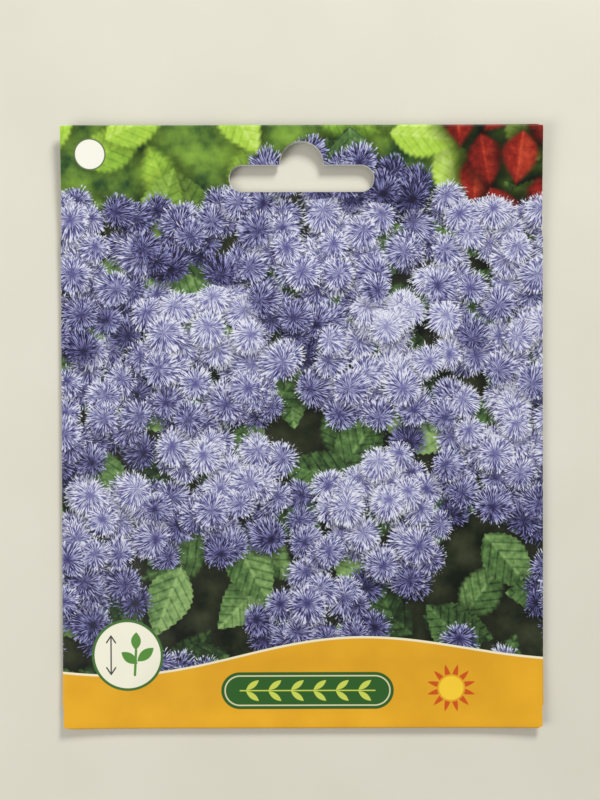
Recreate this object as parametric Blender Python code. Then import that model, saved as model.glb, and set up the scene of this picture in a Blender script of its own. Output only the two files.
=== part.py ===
"""A hanging seed packet: one folded and glued paper envelope, and a foil sachet of seeds inside it.

Metres, +Z up. The packet lies on its back: its printed front faces up and its header, with the
euro slot for a display hook, points to +Y. The origin is on the surface that the packet lies on,
under the middle of its outline.
"""

import math
import random

import bmesh
import bpy
from mathutils import Matrix, Vector

MM = 0.001

# Outline of the closed packet
PACKET_WIDTH = 107 * MM
PACKET_HEIGHT = 134 * MM

# The sheet that the envelope is folded from. A glued layer lies one pitch from the next.
PAPER = 0.2 * MM
GLUE_GAP = 0.15 * MM
PITCH = PAPER + GLUE_GAP
BACK_INSET = 1.0 * MM
BACK_TOP_INSET = 1.0 * MM
SIDE_FLAP_WIDTH = 12 * MM
SIDE_FLAP_ENDS = (-62 * MM, 43 * MM)
SIDE_FLAP_TAPER = 10 * MM
SIDE_FLAP_TIP = 3 * MM
TOP_FLAP_LENGTH = 22 * MM
TOP_FLAP_INSETS = (0.6 * MM, 3.0 * MM)
FOLD_STEPS = 6

# Euro slot through the header: a long slot with a round hump above its middle
SLOT_WIDTH = 32 * MM
SLOT_HEIGHT = 5.7 * MM
SLOT_FROM_TOP = 14.6 * MM
HUMP_RADIUS = 4.8 * MM
HUMP_RISE = 5.1 * MM
ARC_STEPS = 10

# How the packet rests: flat in the middle, with its edges and its header curled clear of the surface
REST_HALF_WIDTH = 34 * MM
REST_ENDS = (-48 * MM, 23 * MM)
SIDE_CURL = 0.7 * MM
FOOT_CURL = 0.7 * MM
HEADER_CURL = 2.3 * MM

# The pocket between the glued borders, where the front stands up over the sachet
POCKET_HALF_WIDTH = 50 * MM
POCKET_ENDS = (-64 * MM, 44 * MM)
POCKET_CORNER = 16 * MM
POCKET_RAMP = 26 * MM
POCKET_RISE = 2.6 * MM

# Sachet of two foil films sealed round their edges, with the gap that touching solids keep
CLEAR = 0.3 * MM
FILM = 0.12 * MM
SACHET_HALF_WIDTH = 37 * MM
SACHET_ENDS = (-52 * MM, 34 * MM)
SEAL_WIDTH = 7 * MM
POUCH_CORNER = 10 * MM
POUCH_RAMP = 14 * MM
POUCH_RISE = 1.9 * MM

# Seeds lying in the lower part of the pouch
HEAP_CENTRE = (0.0, -17 * MM)
HEAP_RADII = (13 * MM, 10 * MM)
HEAP_BED = 0.45 * MM
SEED_LENGTH = 1.9 * MM
SEED_RADIUS = 0.32 * MM
SEED_SIDES = 5
SEED_COUNT = 64
SEED_RANDOM = 7

# Lines of the sheet's mesh: close together where it curves and far apart where it is flat
COLUMN_LINES = (10, 22, 28, 34, 39, 44, 49)
ROW_LINES = (60, 54, 49, 44, 39, 34, 29, 23, 11, -1, -13, -25, -37, -43, -48, -53, -58, -62)


def smooth_step(share):
    """0 below 0, 1 above 1, and an even S-curve between."""
    share = min(1.0, max(0.0, share))
    return share * share * (3 - 2 * share)


def inward_distance(x, y, half_width, ends, corner):
    """How far a point lies inside a rectangle with round corners, or 0 outside it."""
    middle = (ends[0] + ends[1]) / 2
    across = abs(x) - (half_width - corner)
    along = abs(y - middle) - ((ends[1] - ends[0]) / 2 - corner)
    outside = math.hypot(max(across, 0.0), max(along, 0.0))
    inside = min(max(across, along), 0.0)
    return max(0.0, corner - outside - inside)


def lift(x, y):
    """Height of the back's underside over the surface that the packet lies on."""
    side = (abs(x) - REST_HALF_WIDTH) / (PACKET_WIDTH / 2 - REST_HALF_WIDTH)
    foot = (REST_ENDS[0] - y) / (REST_ENDS[0] + PACKET_HEIGHT / 2)
    header = (y - REST_ENDS[1]) / (PACKET_HEIGHT / 2 - REST_ENDS[1])
    return (
        SIDE_CURL * max(0.0, side) ** 2
        + FOOT_CURL * max(0.0, foot) ** 2
        + HEADER_CURL * max(0.0, header) ** 2
    )


def pocket_rise(x, y):
    """Extra height of the front over the pocket, where the sachet holds it up."""
    inward = inward_distance(x, y, POCKET_HALF_WIDTH, POCKET_ENDS, POCKET_CORNER)
    return POCKET_RISE * smooth_step(inward / POCKET_RAMP)


def pouch_rise(x, y):
    """Extra height of the sachet's front film inside its seals."""
    ends = (SACHET_ENDS[0] + SEAL_WIDTH, SACHET_ENDS[1] - SEAL_WIDTH)
    inward = inward_distance(x, y, SACHET_HALF_WIDTH - SEAL_WIDTH, ends, POUCH_CORNER)
    return POUCH_RISE * smooth_step(inward / POUCH_RAMP)


def sheet_point(x, y, level):
    """A point of the envelope's middle surface, level above that of the back panel."""
    return Vector((x, y, lift(x, y) + PAPER / 2 + level))


def mirrored(lines):
    """The lines on both sides of 0, from the lowest to the highest."""
    return sorted({side * line * MM for line in lines for side in (-1, 1)})


def material(name, colour, roughness, metallic=0.0):
    """A Principled BSDF material of one plain finish."""
    made = bpy.data.materials.new(name)
    made.use_nodes = True
    shader = made.node_tree.nodes["Principled BSDF"]
    shader.inputs["Base Color"].default_value = (*colour, 1.0)
    shader.inputs["Roughness"].default_value = roughness
    shader.inputs["Metallic"].default_value = metallic
    return made


def link(name, mesh, finish):
    """An object of this name and finish in the scene."""
    obj = bpy.data.objects.new(name, mesh)
    bpy.context.scene.collection.objects.link(obj)
    mesh.materials.append(finish)
    return obj


def apply_modifiers(obj):
    """The object's mesh as its modifiers leave it, with the modifiers taken off."""
    graph = bpy.context.evaluated_depsgraph_get()
    made = bpy.data.meshes.new_from_object(obj.evaluated_get(graph))
    obj.modifiers.clear()
    obj.data = made


def shade_round(obj, sharp_angle=40):
    """Smooth shading with the cut edges kept sharp."""
    obj.data.shade_smooth()
    obj.data.set_sharp_from_angle(angle=math.radians(sharp_angle))


def bridge(bm, first, second):
    """Quads between two rows of vertices of the same length."""
    for i in range(len(first) - 1):
        bm.faces.new((first[i], first[i + 1], second[i + 1], second[i]))


def fold_arc(centre, radius, sense):
    """Points (out, level) of a half-circle fold, from the upper layer to the lower or back."""
    angles = [math.pi * (0.5 - step / FOLD_STEPS) * sense for step in range(1, FOLD_STEPS)]
    return [(radius * math.cos(a), centre + radius * math.sin(a)) for a in angles]


def spine_stations():
    """Stations (y, level, half width, is front) down the blank: top flap, fold, front, fold, back."""
    front_half = PACKET_WIDTH / 2 - PAPER / 2 - PITCH / 2
    back_half = PACKET_WIDTH / 2 - BACK_INSET
    top_radius = 1.5 * PITCH
    top_line = PACKET_HEIGHT / 2 - PAPER / 2 - top_radius
    foot_line = -(PACKET_HEIGHT / 2 - PAPER / 2 - PITCH)
    flap_steps = 5
    stations = []
    for step in range(flap_steps):
        share = step / (flap_steps - 1)
        inset = TOP_FLAP_INSETS[1] + (TOP_FLAP_INSETS[0] - TOP_FLAP_INSETS[1]) * smooth_step(2 * share)
        y = top_line - TOP_FLAP_LENGTH * (1 - share)
        stations.append((y, -PITCH, PACKET_WIDTH / 2 - inset, False))
    for out, level in fold_arc(PITCH / 2, top_radius, -1):
        stations.append((top_line + out, level, front_half, False))
    for y in (top_line, *(line * MM for line in ROW_LINES), foot_line):
        stations.append((y, 2 * PITCH, front_half, True))
    for out, level in fold_arc(PITCH, PITCH, 1):
        stations.append((foot_line - out, level, back_half, False))
    back_top = PACKET_HEIGHT / 2 - BACK_TOP_INSET
    for y in (foot_line, *(line * MM for line in reversed(ROW_LINES)), back_top):
        stations.append((y, 0.0, back_half, False))
    return stations


def side_flap_width(y):
    """Width of the side flap at y, cut back towards its two ends."""
    from_end = min(y - SIDE_FLAP_ENDS[0], SIDE_FLAP_ENDS[1] - y)
    share = min(1.0, from_end / SIDE_FLAP_TAPER)
    return SIDE_FLAP_TIP + (SIDE_FLAP_WIDTH - SIDE_FLAP_TIP) * share


def side_flap_row(bm, edge_vertex, side):
    """Vertices from the front's edge round the side fold and in along the glued side flap."""
    x, y = edge_vertex.co.x, edge_vertex.co.y
    row = [edge_vertex]
    for out, level in fold_arc(1.5 * PITCH, PITCH / 2, 1):
        row.append(bm.verts.new(sheet_point(x + side * out, y, level)))
    for share in (0.0, 0.5, 1.0):
        row.append(bm.verts.new(sheet_point(x - side * share * side_flap_width(y), y, PITCH)))
    return row


def slot_outline():
    """Corners of the euro slot in the packet's plane, anticlockwise from its lower left arc."""
    low = PACKET_HEIGHT / 2 - SLOT_FROM_TOP
    end_radius = SLOT_HEIGHT / 2
    end_x = SLOT_WIDTH / 2 - end_radius
    hump_y = low + SLOT_HEIGHT + HUMP_RISE - HUMP_RADIUS
    hump_start = -math.asin((hump_y - low - SLOT_HEIGHT) / HUMP_RADIUS)
    points = []
    for step in range(ARC_STEPS + 1):
        a = math.pi * (step / ARC_STEPS - 0.5)
        points.append((end_x + end_radius * math.cos(a), low + end_radius + end_radius * math.sin(a)))
    for step in range(ARC_STEPS + 1):
        a = hump_start + (math.pi - 2 * hump_start) * step / ARC_STEPS
        points.append((HUMP_RADIUS * math.cos(a), hump_y + HUMP_RADIUS * math.sin(a)))
    for step in range(ARC_STEPS + 1):
        a = math.pi * (step / ARC_STEPS + 0.5)
        points.append((-end_x + end_radius * math.cos(a), low + end_radius + end_radius * math.sin(a)))
    return points


def slot_cutter():
    """A tall prism of the slot's outline that passes through every layer of the header."""
    below, above = -5 * MM, 12 * MM
    bm = bmesh.new()
    face = bm.faces.new([bm.verts.new((x, y, below)) for x, y in slot_outline()])
    raised = bmesh.ops.extrude_face_region(bm, geom=[face])["geom"]
    risen = [item for item in raised if isinstance(item, bmesh.types.BMVert)]
    bmesh.ops.translate(bm, verts=risen, vec=(0, 0, above - below))
    bmesh.ops.recalc_face_normals(bm, faces=bm.faces)
    mesh = bpy.data.meshes.new("slot_cutter")
    bm.to_mesh(mesh)
    bm.free()
    cutter = bpy.data.objects.new("slot_cutter", mesh)
    bpy.context.scene.collection.objects.link(cutter)
    cutter.hide_render = True
    cutter.display_type = "WIRE"
    return cutter


def make_envelope(paper):
    """The envelope: one blank, folded at its head, foot and sides, thickened and punched."""
    half = PACKET_WIDTH / 2 - PAPER / 2 - PITCH / 2
    shares = [-1.0, *(line / half for line in mirrored(COLUMN_LINES)), 1.0]
    bm = bmesh.new()
    rows, front_rows = [], []
    for y, level, half_width, is_front in spine_stations():
        row = []
        for share in shares:
            x = share * half_width
            rise = pocket_rise(x, y) if is_front else 0.0
            row.append(bm.verts.new(sheet_point(x, y, level + rise)))
        rows.append(row)
        if is_front:
            front_rows.append(row)
    for first, second in zip(rows, rows[1:]):
        bridge(bm, first, second)
    within = [r for r in front_rows if SIDE_FLAP_ENDS[0] <= r[0].co.y <= SIDE_FLAP_ENDS[1]]
    for side, end in ((-1, 0), (1, -1)):
        strips = [side_flap_row(bm, row[end], side) for row in within]
        for first, second in zip(strips, strips[1:]):
            bridge(bm, *((first, second) if side > 0 else (second, first)))
    mesh = bpy.data.meshes.new("envelope")
    bm.to_mesh(mesh)
    bm.free()
    envelope = link("envelope", mesh, paper)
    thicken = envelope.modifiers.new("thicken", "SOLIDIFY")
    thicken.thickness = PAPER
    thicken.offset = 0.0
    punch = envelope.modifiers.new("punch", "BOOLEAN")
    punch.operation = "DIFFERENCE"
    punch.object = slot_cutter()
    shade_round(envelope)
    return envelope


def make_film(name, film, underside):
    """One film of the sachet: a sheet over the sachet's outline with this height of its underside."""
    columns = mirrored((0, 8, 16, 20, 23, 26, 30, 33.5, 37))
    rows = [line * MM for line in (-52, -48.5, -45, -41, -38, -35, -31, -17, -1, 13, 17, 20, 23, 27, 30.5, 34)]
    bm = bmesh.new()
    lower = [[bm.verts.new((x, y, underside(x, y))) for x in columns] for y in rows]
    upper = [[bm.verts.new((x, y, underside(x, y) + FILM)) for x in columns] for y in rows]
    for j in range(len(rows) - 1):
        bridge(bm, lower[j + 1], lower[j])
        bridge(bm, upper[j], upper[j + 1])
    around = rim(lower), rim(upper)
    for i in range(len(around[0])):
        ahead = (i + 1) % len(around[0])
        bm.faces.new((around[0][i], around[0][ahead], around[1][ahead], around[1][i]))
    mesh = bpy.data.meshes.new(name)
    bm.to_mesh(mesh)
    bm.free()
    obj = link(name, mesh, film)
    shade_round(obj)
    return obj


def rim(grid):
    """The border vertices of a grid, anticlockwise seen from above."""
    right = [row[-1] for row in grid[1:-1]]
    left = [row[0] for row in reversed(grid[1:-1])]
    return grid[0] + right + list(reversed(grid[-1])) + left


def back_film_underside(x, y):
    """Underside of the film that lies on the envelope's back panel."""
    return lift(x, y) + PAPER + CLEAR


def front_film_underside(x, y):
    """Underside of the film that the seeds and air hold up."""
    return back_film_underside(x, y) + FILM + CLEAR + pouch_rise(x, y)


def seed_mesh():
    """One seed along X: a slim angled spindle, blunter at its crown than at its base."""
    bm = bmesh.new()
    stations = ((-0.5, 0.0), (-0.1, 0.8), (0.32, 1.0), (0.5, 0.0))
    rings = []
    for along, width in stations:
        if not width:
            rings.append([bm.verts.new((along * SEED_LENGTH, 0, 0))])
            continue
        turn = 2 * math.pi / SEED_SIDES
        rings.append(
            [
                bm.verts.new(
                    (
                        along * SEED_LENGTH,
                        width * SEED_RADIUS * math.cos(i * turn),
                        width * SEED_RADIUS * math.sin(i * turn),
                    )
                )
                for i in range(SEED_SIDES)
            ]
        )
    base, belly, shoulder, crown = rings
    for i in range(SEED_SIDES):
        ahead = (i + 1) % SEED_SIDES
        bm.faces.new((base[0], belly[i], belly[ahead]))
        bm.faces.new((belly[i], shoulder[i], shoulder[ahead], belly[ahead]))
        bm.faces.new((shoulder[i], crown[0], shoulder[ahead]))
    bmesh.ops.recalc_face_normals(bm, faces=bm.faces)
    mesh = bpy.data.meshes.new("seed")
    bm.to_mesh(mesh)
    bm.free()
    return mesh


def heap_bed():
    """The thin bed of seeds that the loose ones on top are sunk into."""
    bm = bmesh.new()
    bmesh.ops.create_cone(
        bm, cap_ends=True, segments=24, radius1=1.0, radius2=0.94, depth=HEAP_BED
    )
    bmesh.ops.scale(bm, verts=bm.verts, vec=(*HEAP_RADII, 1.0))
    mesh = bpy.data.meshes.new("seed_bed")
    bm.to_mesh(mesh)
    bm.free()
    return mesh


def make_seeds(husk):
    """The seeds, as one heap: each lies at its own angle, sunk into the bed and its neighbours."""
    draw = random.Random(SEED_RANDOM)
    floor = back_film_underside(0, 0) + FILM + CLEAR
    heap = bpy.data.collections.new("seed_heap")
    bpy.context.scene.collection.children.link(heap)
    shape = seed_mesh()
    golden = math.pi * (3 - math.sqrt(5))
    for i in range(SEED_COUNT):
        out = math.sqrt((i + 0.5) / SEED_COUNT) * 0.93
        angle = i * golden
        x = HEAP_CENTRE[0] + HEAP_RADII[0] * out * math.cos(angle)
        y = HEAP_CENTRE[1] + HEAP_RADII[1] * out * math.sin(angle)
        z = floor + HEAP_BED + SEED_RADIUS * draw.uniform(0.1, 0.6)
        turn = Matrix.Rotation(draw.uniform(0, 2 * math.pi), 4, "Z")
        tip = Matrix.Rotation(math.radians(draw.uniform(-8, 8)), 4, "Y")
        seed = bpy.data.objects.new(f"seed_{i}", shape)
        heap.objects.link(seed)
        seed.matrix_world = Matrix.Translation((x, y, z)) @ turn @ tip
    seeds = link("seeds", heap_bed(), husk)
    seeds.location = (*HEAP_CENTRE, floor + HEAP_BED / 2)
    join = seeds.modifiers.new("join", "BOOLEAN")
    join.operation = "UNION"
    join.operand_type = "COLLECTION"
    join.collection = heap
    bpy.context.view_layer.update()
    apply_modifiers(seeds)
    for seed in list(heap.objects):
        bpy.data.objects.remove(seed)
    bpy.data.collections.remove(heap)
    return seeds


def main():
    for obj in list(bpy.data.objects):
        bpy.data.objects.remove(obj)
    paper = material("coated_paper", (0.32, 0.34, 0.62), 0.3)
    foil = material("sachet_foil", (0.78, 0.79, 0.8), 0.3, metallic=0.9)
    husk = material("seed_husk", (0.05, 0.04, 0.035), 0.6)
    make_envelope(paper)
    make_film("sachet_back_film", foil, back_film_underside)
    make_film("sachet_front_film", foil, front_film_underside)
    make_seeds(husk)


main()
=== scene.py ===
# %% [markdown]
# A seed packet that lies on its back, seen from above. It is one sheet of coated paper, printed on
# one side, folded and glued round a small sachet of seeds, with a slot punched through its header.
# This lesson builds the paper as a folded mesh, prints it with a node material, and lights it.

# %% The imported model, as a fixed frame to build round
import math
import bmesh
import bpy
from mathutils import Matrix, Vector, noise


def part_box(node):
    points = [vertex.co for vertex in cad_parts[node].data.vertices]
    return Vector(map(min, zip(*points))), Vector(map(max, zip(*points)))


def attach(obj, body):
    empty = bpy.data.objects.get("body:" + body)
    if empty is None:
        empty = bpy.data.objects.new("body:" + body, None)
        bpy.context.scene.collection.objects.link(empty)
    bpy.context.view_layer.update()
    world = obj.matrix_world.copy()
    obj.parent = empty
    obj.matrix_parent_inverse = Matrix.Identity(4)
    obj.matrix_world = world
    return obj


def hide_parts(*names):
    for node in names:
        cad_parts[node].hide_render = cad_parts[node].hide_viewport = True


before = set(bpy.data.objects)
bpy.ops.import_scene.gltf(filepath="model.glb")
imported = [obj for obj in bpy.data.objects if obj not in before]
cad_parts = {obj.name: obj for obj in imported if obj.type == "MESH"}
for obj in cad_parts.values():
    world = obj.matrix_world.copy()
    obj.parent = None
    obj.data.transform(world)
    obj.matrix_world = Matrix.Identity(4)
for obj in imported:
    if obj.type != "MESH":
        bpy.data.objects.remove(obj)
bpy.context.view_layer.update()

MM = 0.001

# %% [markdown]
# Everything else is measured from the packet's own outline, so its width and height come from the
# frame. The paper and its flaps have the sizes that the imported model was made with: each glued
# layer lies one pitch from the next, and the back is cut a little smaller than the front.

# %% Measures of the packet, in millimetres
low, high = (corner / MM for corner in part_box("envelope"))
WIDTH, HEIGHT = high.x - low.x, high.y - low.y
PAPER = 0.2
PITCH = 0.35
TOP, FOOT = HEIGHT / 2, -HEIGHT / 2
HALF = WIDTH / 2 - PAPER / 2 - PITCH / 2
BACK_INSET = 1.0
BACK_HALF = WIDTH / 2 - BACK_INSET
BACK_TOP = TOP - BACK_INSET
FLAP_LENGTH = 22.0
SIDE_FLAP = 12.0
print("packet", round(WIDTH, 1), "x", round(HEIGHT, 1), "mm")

# %% [markdown]
# The camera of a phone, held over the packet and a little towards its head, so the foot is a
# touch farther off and looks narrower. The image is 600 by 800 pixels, and the packet's 107 mm
# fill 485 of them, so one pixel is 0.22 mm.

# %% The camera
PACKET_PIXELS = 485
IMAGE_ROWS = 800
AIM_PIXELS = Vector((-2.2, 28.0))
PIXEL = WIDTH / PACKET_PIXELS
IMAGE_HEIGHT = IMAGE_ROWS * PIXEL
AIM = AIM_PIXELS * PIXEL
EYE_HEIGHT = 330.0
EYE_SHIFT = 4.0
ROLL = math.radians(-0.16)
SENSOR = 36.0
NEAREST_SEEN = 10.0
camera = bpy.data.objects.new("camera", bpy.data.cameras.new("camera"))
bpy.context.scene.collection.objects.link(camera)
camera.data.sensor_width = SENSOR
camera.data.lens = SENSOR * (EYE_HEIGHT - high.z) / IMAGE_HEIGHT
camera.data.clip_start = NEAREST_SEEN * MM
camera.location = Vector((AIM.x, AIM.y + EYE_SHIFT, EYE_HEIGHT)) * MM
camera.rotation_euler = (-math.atan2(EYE_SHIFT, EYE_HEIGHT), 0.0, ROLL)
bpy.context.scene.camera = camera
print("lens", round(camera.data.lens, 1), "mm")

# %% [markdown]
# A soft studio: one large lamp from the upper right gives the shadow that falls inside the slot,
# a weaker one fills from the left, and a pale world keeps the gloss even. Places and sizes are in
# millimetres, and power is in watts.

# %% Lights, world and floor
def area_lamp(name, place, size, power):
    """A square lamp at this place in millimetres that faces the packet."""
    lamp = bpy.data.objects.new(name, bpy.data.lights.new(name, "AREA"))
    bpy.context.scene.collection.objects.link(lamp)
    lamp.data.size = size * MM
    lamp.data.energy = power
    lamp.location = Vector(place) * MM
    lamp.rotation_mode = "QUATERNION"
    lamp.rotation_quaternion = (-Vector(place)).to_track_quat("-Z", "Y")
    print(name, "of", power, "W")


area_lamp("key_lamp", place=(260, 620, 500), size=230, power=5.2)
area_lamp("fill_lamp", place=(-480, -160, 520), size=420, power=2.1)

SKY = (1.0, 0.985, 0.96, 1.0)
SKY_STRENGTH = 0.35
world = bpy.data.worlds.new("studio")
bpy.context.scene.world = world
world.use_nodes = True
background = world.node_tree.nodes["Background"]
background.inputs["Color"].default_value = SKY
background.inputs["Strength"].default_value = SKY_STRENGTH
bpy.context.scene.view_settings.view_transform = "Standard"

FLOOR = 1500 * MM
floor_mesh = bpy.data.meshes.new("floor")
floor_mesh.from_pydata(
    [(-FLOOR, -FLOOR, 0), (FLOOR, -FLOOR, 0), (FLOOR, FLOOR, 0), (-FLOOR, FLOOR, 0)],
    [],
    [(0, 1, 2, 3)],
)
floor = bpy.data.objects.new("floor", floor_mesh)
bpy.context.scene.collection.objects.link(floor)

# %% [markdown]
# A printed picture is a long sum of small patterns. Written as Python expressions it stays
# readable, so one small class wraps a node's output and turns arithmetic on it into Math nodes,
# or into Vector Math nodes where it carries a vector or a colour.

# %% Node arithmetic
def is_number(value):
    return isinstance(value, (int, float))


class Value:
    """What one output socket carries over the surface: a number, a vector or a colour."""

    def __init__(self, socket):
        self.socket = socket

    def add(self, kind, settings=None, inputs=None, out=0):
        """Adds a node of this kind with its settings and inputs, and gives the named output."""
        return add_node(self.socket.id_data, kind, settings, inputs, out)

    def calc(self, operation, *others):
        """A Math node, or a Vector Math node where this value is a vector."""
        values = dict(enumerate((self, *others)))
        if self.socket.type == "VALUE":
            return self.add("Math", {"operation": operation}, values)
        out = "Value" if operation in ("LENGTH", "DOT_PRODUCT") else "Vector"
        return self.add("VectorMath", {"operation": operation}, values, out)

    def scaled(self, factor):
        """A vector or colour times a number."""
        return self.add("VectorMath", {"operation": "SCALE"}, {0: self, "Scale": factor})

    def __mul__(self, other):
        scalar = is_number(other) or (isinstance(other, Value) and other.socket.type == "VALUE")
        if self.socket.type != "VALUE" and scalar:
            return self.scaled(other)
        return self.calc("MULTIPLY", other)

    def __truediv__(self, other):
        if self.socket.type != "VALUE" and is_number(other):
            return self.scaled(1 / other)
        return self.calc("DIVIDE", other)

    def __rsub__(self, other):
        return self.add("Math", {"operation": "SUBTRACT"}, {0: other, 1: self})

    def __rtruediv__(self, other):
        return self.add("Math", {"operation": "DIVIDE"}, {0: other, 1: self})

    def __add__(self, other):
        return self.calc("ADD", other)

    def __sub__(self, other):
        return self.calc("SUBTRACT", other)

    __radd__ = __add__
    __rmul__ = __mul__

    def part(self, axis):
        """The x, y or z of a vector, or the red, green or blue of a colour."""
        kind = "SeparateColor" if self.socket.type == "RGBA" else "SeparateXYZ"
        return self.add(kind, None, {0: self}, "xyz".index(axis))

    def ramp(self, start, end):
        """0 at start, 1 at end and beyond, with an even S-curve between."""
        values = {"Value": self, "From Min": start, "From Max": end}
        settings = {"interpolation_type": "SMOOTHSTEP", "clamp": False}
        return self.add("MapRange", settings, values)

    def inked(self, mask, colour):
        """This colour with another laid over it where the mask is 1."""
        settings = {"data_type": "RGBA"}
        return self.add("Mix", settings, {"Factor": mask, "A": self, "B": colour}, "Result")

    def shaded(self, mask):
        """This colour, darkened where the mask is above 0."""
        return self.inked(mask, (0.0, 0.0, 0.0))


def larger(first, second):
    return first.calc("MAXIMUM", second)


# %% [markdown]
# One function makes every node. The settings come first, because they decide which sockets a node
# has in use. Then each input takes a number, a colour, or the value of another node.

# %% Making a node
def add_node(tree, kind, settings=None, inputs=None, out=0):
    """Adds a shader node: its settings are set first, then its inputs are set or linked."""
    made = tree.nodes.new("ShaderNode" + kind)
    for name, value in (settings or {}).items():
        if name == "stops":
            set_stops(made.color_ramp, value)
        else:
            setattr(made, name, value)
    for name, value in (inputs or {}).items():
        socket = open_socket(made.inputs, name)
        if isinstance(value, Value):
            tree.links.new(value.socket, socket)
        elif socket.type == "RGBA" and len(value) == 3:
            socket.default_value = (*value, 1.0)
        else:
            socket.default_value = value
    return Value(open_socket(made.outputs, out))


def open_socket(sockets, name):
    """A node's socket by its number, or by its name among those that its settings leave in use."""
    if isinstance(name, int):
        return sockets[name]
    return next(socket for socket in sockets if socket.name == name and socket.enabled)


def set_stops(ramp, stops):
    """Gives a colour ramp these stops, each a place from 0 to 1 and a colour."""
    while len(ramp.elements) > 1:
        ramp.elements.remove(ramp.elements[-1])
    for i, (place, colour) in enumerate(stops):
        element = ramp.elements[0] if i == 0 else ramp.elements.new(place)
        element.position = place
        element.color = (*colour, 1.0)


# %% [markdown]
# A new material starts with its surface shader and the place on the paper in millimetres. The
# finish that doesn't vary, such as the clear coat's roughness, is set straight on the shader.

# %% Starting a material
def start_material(name, **finish):
    """A material, its Principled shader, and the place on the object in millimetres."""
    made = bpy.data.materials.new(name)
    made.use_nodes = True
    shader = made.node_tree.nodes["Principled BSDF"]
    for socket, value in finish.items():
        shader.inputs[socket.replace("_", " ")].default_value = value
    place = add_node(made.node_tree, "TexCoord", None, None, "Object")
    return made, shader, place / MM


def feed(shader, socket, value):
    """Links a value to one input of a shader."""
    shader.id_data.links.new(value.socket, shader.inputs[socket])


def feed_bump(shader, height, depth):
    """Bumps the shader's surface by a height from 0 to 1 times this depth in millimetres."""
    normal = height.add("Bump", None, {"Height": height, "Distance": depth * MM, "Strength": 1.0})
    feed(shader, "Normal", normal)


# %% [markdown]
# Leaves are scattered like stamps: the page is cut into turned square cells, and each cell holds
# one stamp near its middle, so small that the cell's edge cuts no more than its tip. Blossoms
# crowd closer than that, so they take the nearest point of a Voronoi pattern as their middle.
# Several layers, each shifted, lie over each other, so no grid shows. A layer is a node group,
# made once and then laid several times with other numbers.

# %% One layer of scattered spots
CROWD_SCATTER = 0.62


def layer_group(name, labels, draw):
    """A node group that lays one layer: what draw makes of a picture, the page and these inputs."""
    tree = bpy.data.node_groups.new(name, "ShaderNodeTree")
    kinds = {"Picture": "Color", "Page": "Vector", "Turn": "Vector", "Shift": "Vector"}
    for label in labels:
        kind = "NodeSocket" + kinds.get(label, "Float")
        tree.interface.new_socket(label, in_out="INPUT", socket_type=kind)
    tree.interface.new_socket("Picture", in_out="OUTPUT", socket_type="NodeSocketColor")
    start, end = tree.nodes.new("NodeGroupInput"), tree.nodes.new("NodeGroupOutput")
    result = draw(*[Value(start.outputs[label]) for label in labels])
    tree.links.new(result.socket, end.inputs["Picture"])
    print(name, "has", len(tree.nodes), "nodes")
    return tree


def lay(picture, page, tree, shift, **inputs):
    """The picture with one more layer over it, shifted over the page, with its other inputs."""
    values = {"Picture": picture, "Page": page, "Shift": (*shift, 0), **inputs}
    return picture.add("Group", {"node_tree": tree}, values, "Picture")


def scatter(page, cell, turn, shift, seed, play):
    """Per cell: the way from its spot, the spot's place on the page, and three random numbers."""
    grid = {"Location": shift, "Rotation": turn, "Scale": (1 / cell, 1 / cell, 1)}
    cells = page.add("Mapping", {"vector_type": "POINT"}, {"Vector": page, **grid})
    keyed = cells.calc("FLOOR") + page.add("CombineXYZ", None, {"Z": seed})
    draw = page.add("TexWhiteNoise", {"noise_dimensions": "3D"}, {"Vector": keyed}, "Color")
    nudge = page.add("CombineXYZ", None, {"X": draw.part("x"), "Y": draw.part("y")})
    spot = keyed + nudge * (2 * play) + Vector((0.5 - play, 0.5 - play, 0))
    place = flat_page(page.add("Mapping", {"vector_type": "TEXTURE"}, {"Vector": spot, **grid}))
    luck = page.add("TexWhiteNoise", {"noise_dimensions": "3D"}, {"Vector": spot}, "Color")
    return page - place, place, luck


def crowd(page, cell, shift):
    """The way from the nearest spot, the spot's place on the page, and three random numbers."""
    settings = {"voronoi_dimensions": "2D", "feature": "F1"}
    inputs = {"Vector": page + shift, "Scale": 1 / cell, "Randomness": CROWD_SCATTER}
    away = page.add("TexVoronoi", settings, inputs, "Distance")
    place = Value(away.socket.node.outputs["Position"]) - shift
    return page - place, place, Value(away.socket.node.outputs["Color"])


def flat_page(place):
    return place * Vector((1, 1, 0))


# %% [markdown]
# The picture has regions: bright foliage along its head, a corner of red petals at its upper
# right, and blossoms over the rest, in clumps with dark leafy gaps between them. A stamp belongs
# to a region by where its own middle lies, so that none is cut at a border.

# %% Regions of the picture
BLOSSOM_TOP = 54.0
CLUMP = 31.0
CLUMP_SCATTER = 0.8
RED_CORNER = Vector((52.0, 64.0, 0.0))
RED_REACH = 21.0
LIGHT = Vector((0.12, 0.98, 0.0))
BRIGHT_SPOT = Vector((2.0, 18.0, 0.0))


def blossom_limit(place):
    """The height on the page under which blossoms grow."""
    x = place.part("x")
    broad_wave = (x * 0.055 + 1.2).calc("SINE") * 7.0
    short_wave = (x * 0.12 + 0.8).calc("SINE") * 3.0
    return broad_wave + short_wave + BLOSSOM_TOP


def clump_of(place):
    """How far a place lies from the middle of its clump in clumps, the way from it, and a chance."""
    settings = {"voronoi_dimensions": "2D", "feature": "F1"}
    inputs = {"Vector": place, "Scale": 1 / CLUMP, "Randomness": CLUMP_SCATTER}
    away = place.add("TexVoronoi", settings, inputs, "Distance")
    middle = Value(away.socket.node.outputs["Position"])
    colour = Value(away.socket.node.outputs["Color"])
    return away, (place - middle) / CLUMP, colour.part("x")


# %% [markdown]
# A leaf is drawn from two numbers: how far along it a point lies, from -1 at the stalk to 1 at
# the tip, and how far from its midrib. The same numbers place the notches, the midrib and the
# side veins. The blade puffs up between the veins, and noise gives it its crinkles.

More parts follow.
